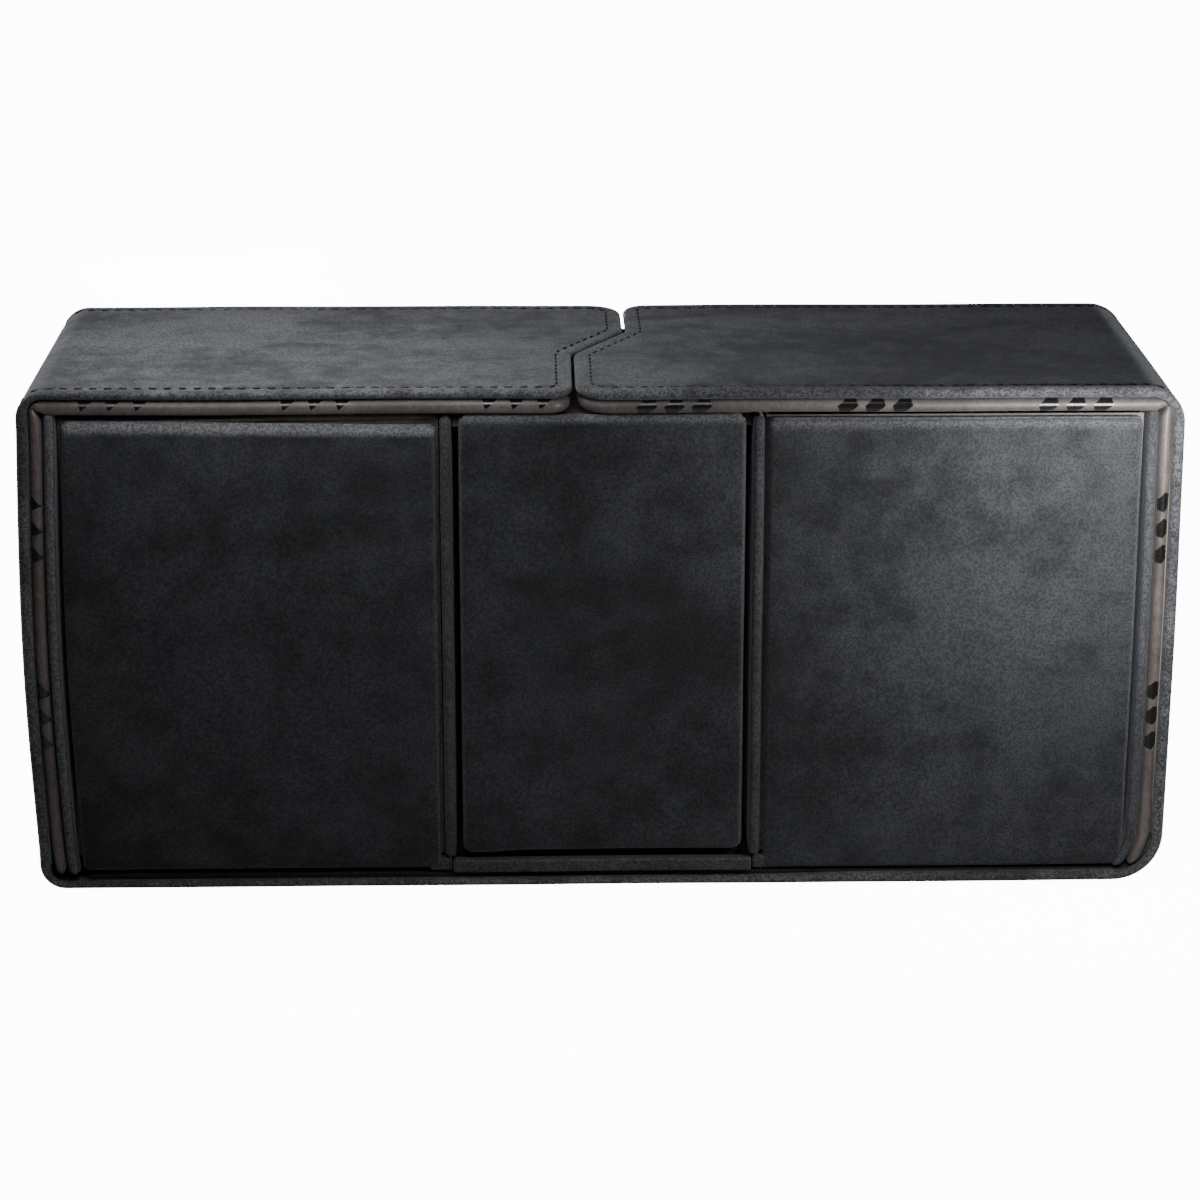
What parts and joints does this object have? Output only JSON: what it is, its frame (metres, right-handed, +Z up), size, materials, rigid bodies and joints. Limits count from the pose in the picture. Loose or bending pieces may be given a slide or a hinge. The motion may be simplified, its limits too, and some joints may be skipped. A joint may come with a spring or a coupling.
{
  "type": "card deck box",
  "caption": "Wide suede-covered box for card decks: fold-down sides, top flaps with a zig-zag split, lined deck compartments and a drawer between them.",
  "frame": {"origin": "under the middle of the base, on the surface that the box stands on", "axes": "+X to the right along the box's width, -Y out of its front (the drawer's face), +Z up"},
  "size_m": [0.2384, 0.078, 0.1086],
  "materials": {
    "suede": "matte charcoal suede-like microfibre, mottled nap",
    "lining": "matte warm grey-brown microfibre",
    "board": "matte grey chipboard",
    "magnet": "nickel-plated disc magnet"
  },
  "bodies": {
    "case": {"base_cover": "suede", "base_board": "board", "left_base_hinge": "suede", "right_base_hinge": "suede", "left_base_gutter": "lining", "right_base_gutter": "lining", "case_floor": "board", "back_panel": "suede", "left_outer_wall": "suede", "right_outer_wall": "suede", "left_divider": "suede", "right_divider": "suede", "left_front_panel": "suede", "right_front_panel": "suede", "left_liner": "lining", "right_liner": "lining", "bay_sill": "suede", "bay_liner": "lining", "ledge_board": "board", "ledge_lining": "lining", "left_front_ledge_magnet": "magnet", "left_back_ledge_magnet": "magnet", "right_front_ledge_magnet": "magnet", "right_back_ledge_magnet": "magnet"},
    "drawer": {"drawer_front": "suede", "drawer_left_side": "suede", "drawer_right_side": "suede", "drawer_back": "suede", "drawer_floor": "suede", "drawer_liner": "lining"},
    "left_wing": {"left_side_cover": "suede", "left_side_board": "board", "left_side_lining": "lining", "left_top_hinge": "suede", "left_top_gutter": "lining"},
    "left_flap": {"left_flap_cover": "suede", "left_flap_board": "board", "left_flap_lining": "lining", "left_front_flap_magnet": "magnet", "left_back_flap_magnet": "magnet"},
    "right_wing": {"right_side_cover": "suede", "right_side_board": "board", "right_side_lining": "lining", "right_top_hinge": "suede", "right_top_gutter": "lining"},
    "right_flap": {"right_flap_cover": "suede", "right_flap_board": "board", "right_flap_lining": "lining", "right_front_flap_magnet": "magnet", "right_back_flap_magnet": "magnet"}
  },
  "joints": [
    {"name": "left_wing_hinge", "type": "hinge", "parent": "case", "child": "left_wing", "pos_m": [-0.11686, 0, 0.00234], "axis": [0, -1, 0], "range_deg": [0, 90], "deforming": ["left_base_hinge", "left_base_gutter"]},
    {"name": "left_flap_hinge", "type": "hinge", "parent": "left_wing", "child": "left_flap", "pos_m": [-0.11686, 0, 0.10626], "axis": [0, -1, 0], "range_deg": [0, 90], "deforming": ["left_top_hinge", "left_top_gutter"]},
    {"name": "right_wing_hinge", "type": "hinge", "parent": "case", "child": "right_wing", "pos_m": [0.11686, 0, 0.00234], "axis": [0, 1, 0], "range_deg": [0, 90], "deforming": ["right_base_hinge", "right_base_gutter"]},
    {"name": "right_flap_hinge", "type": "hinge", "parent": "right_wing", "child": "right_flap", "pos_m": [0.11686, 0, 0.10626], "axis": [0, 1, 0], "range_deg": [0, 90], "deforming": ["right_top_hinge", "right_top_gutter"]},
    {"name": "drawer_slide", "type": "slide", "parent": "case", "child": "drawer", "axis": [0, -1, 0], "range_m": [0, 0.07]}
  ]
}
